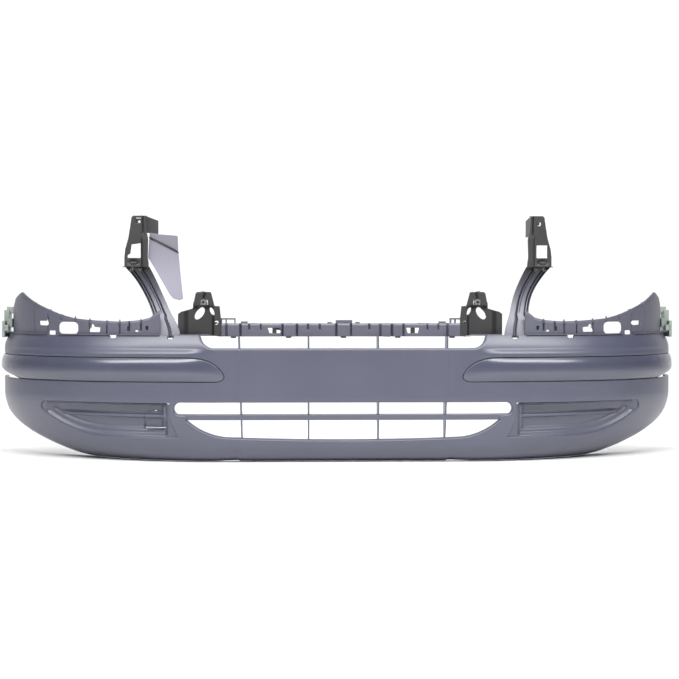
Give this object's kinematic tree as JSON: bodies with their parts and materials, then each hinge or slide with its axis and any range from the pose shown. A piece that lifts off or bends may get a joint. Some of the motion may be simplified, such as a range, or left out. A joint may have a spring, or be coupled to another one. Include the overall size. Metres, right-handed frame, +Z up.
{
  "type": "bumper cover",
  "caption": "Front bumper cover of a van with rub strips, split lower grille, fog-lamp blanks, hinged towing-eye cap and splayed mounting arms.",
  "frame": {"origin": "under the middle of the cover, level with the bottom of the chin", "axes": "seen from the front +X is right, +Y runs to the rear, +Z is up"},
  "size_m": [1.906, 0.5554, 0.645],
  "materials": {
    "moulded_grey": "fine grain",
    "strip_grey": "fine grain",
    "bracket_black": "fine grain",
    "panel_pale": "fine grain",
    "cap_grey": "fine grain",
    "fastener_steel": "satin",
    "clip_black": "fine grain",
    "retainer_green_grey": "fine grain",
    "structure_grey": "fine grain"
  },
  "bodies": {
    "cover": {"arm_rivets": "fastener_steel", "bumper_skin": "moulded_grey", "centre_rail": "structure_grey", "grille_crossbar": "moulded_grey", "grille_fin_1": "moulded_grey", "grille_fin_2": "moulded_grey", "grille_fin_3": "moulded_grey", "grille_fin_4": "moulded_grey", "insert_screws": "fastener_steel", "intake_side_panel": "panel_pale", "left_arm": "structure_grey", "left_arm_bracket": "bracket_black", "left_end_retainer": "retainer_green_grey", "left_grille_bracket": "bracket_black", "left_headlight_shelf": "structure_grey", "left_lower_insert": "moulded_grey", "left_rub_strip": "strip_grey", "left_shoulder_block": "structure_grey", "right_arm": "structure_grey", "right_arm_bracket": "bracket_black", "right_end_retainer": "retainer_green_grey", "right_grille_bracket": "bracket_black", "right_headlight_shelf": "structure_grey", "right_lower_insert": "moulded_grey", "right_rub_strip": "strip_grey", "right_shoulder_block": "structure_grey", "seam_screws": "fastener_steel", "spring_nuts": "fastener_steel", "strip_clips": "clip_black", "tow_cap_pin": "fastener_steel"},
    "tow_cap": {"tow_eye_cap": "cap_grey"}
  },
  "joints": [
    {"name": "tow_cap_hinge", "type": "hinge", "parent": "cover", "child": "tow_cap", "pos_m": [-0.48672, -0.23171, 0.091], "axis": [0.9811, -0.1937, 0], "range_deg": [0, 105]}
  ]
}
